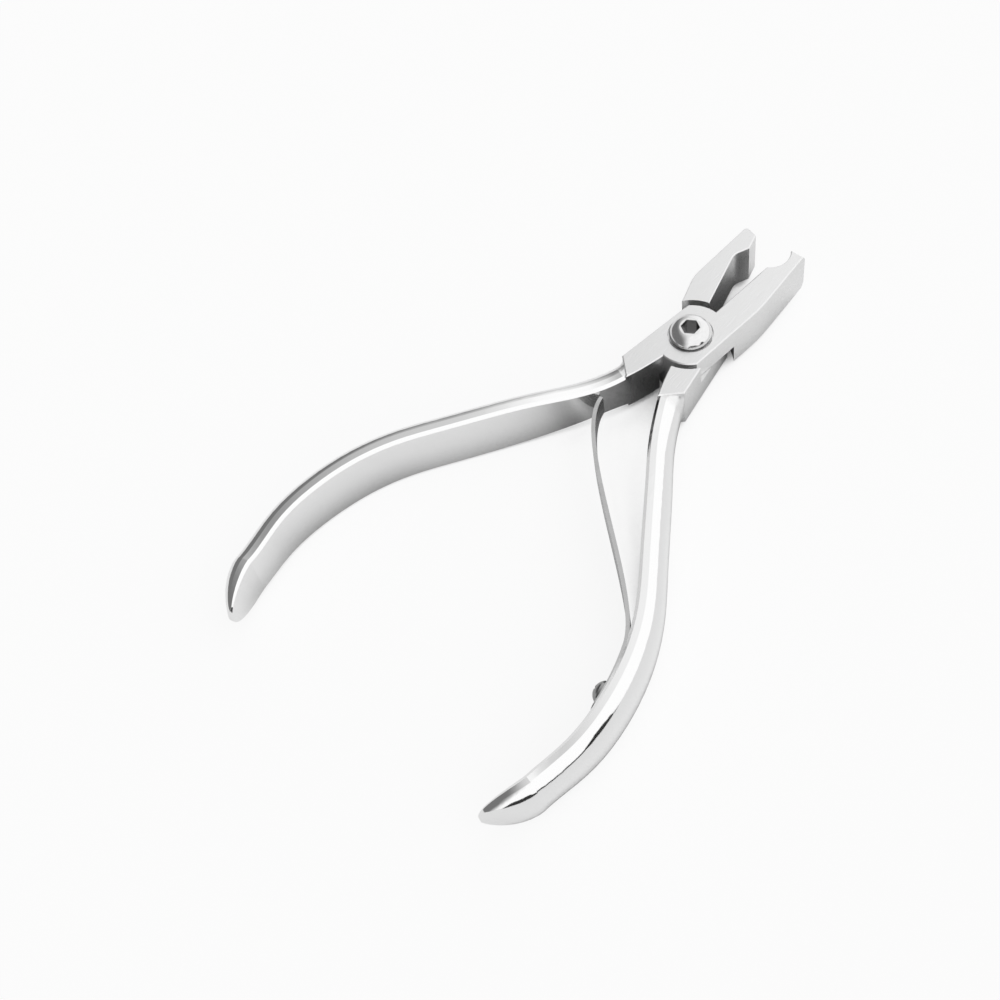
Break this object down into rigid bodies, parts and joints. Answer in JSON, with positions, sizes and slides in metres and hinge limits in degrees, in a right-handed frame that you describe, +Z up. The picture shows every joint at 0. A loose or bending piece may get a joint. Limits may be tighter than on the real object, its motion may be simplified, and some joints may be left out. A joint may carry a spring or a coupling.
{
  "type": "orthodontic pliers",
  "caption": "Orthodontic pliers with crossed forged halves, a hollow-tipped jaw facing a beak, a socket-head pivot and a leaf return spring.",
  "frame": {"origin": "on the pivot axis, at the flat underside of the joint", "axes": "+X along the centreline to the jaw tips, +Y to the side of the beak jaw, +Z up along the pivot screw to its head"},
  "size_m": [0.1173, 0.0724, 0.0125],
  "materials": {
    "polished_steel": "polished stainless steel with satin-ground flats",
    "screw_steel": "polished stainless steel",
    "spring_steel": "satin spring steel"
  },
  "bodies": {
    "lower": {"lower_half": "polished_steel", "pivot_screw": "screw_steel", "leaf_spring": "spring_steel", "spring_screw": "screw_steel"},
    "upper": {"upper_half": "polished_steel"}
  },
  "joints": [
    {"name": "pivot", "type": "hinge", "parent": "lower", "child": "upper", "pos_m": [0, 0, 0.0045], "axis": [0, 0, 1], "range_deg": [-10, 16], "stiffness_Nm_per_rad": 0.7, "deforming": ["leaf_spring"]}
  ]
}
